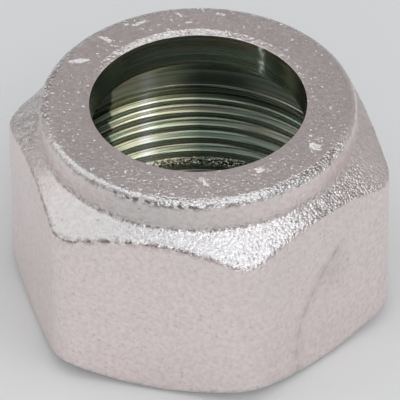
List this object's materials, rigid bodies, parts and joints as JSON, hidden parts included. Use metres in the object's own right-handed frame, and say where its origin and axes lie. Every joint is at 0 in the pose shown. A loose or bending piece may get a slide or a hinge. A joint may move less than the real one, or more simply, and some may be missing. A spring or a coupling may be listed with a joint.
{
  "type": "union nut",
  "caption": "Hexagon union nut with a round collar, a plain tube bore and a threaded socket, in matt zinc-plated steel.",
  "frame": {"origin": "centre of the socket's mouth face, which the nut stands on", "axes": "+Z along the nut's axis, out of the collar; +X through two opposite corners of the hexagon; flats face -Y and +Y"},
  "size_m": [0.0458, 0.041, 0.0274],
  "materials": {
    "zinc_plated_steel": "matt zinc plating over a forged and blasted skin, with a darker, glossier bore and thread"
  },
  "bodies": {
    "root": {"union_nut": "zinc_plated_steel"}
  },
  "joints": []
}
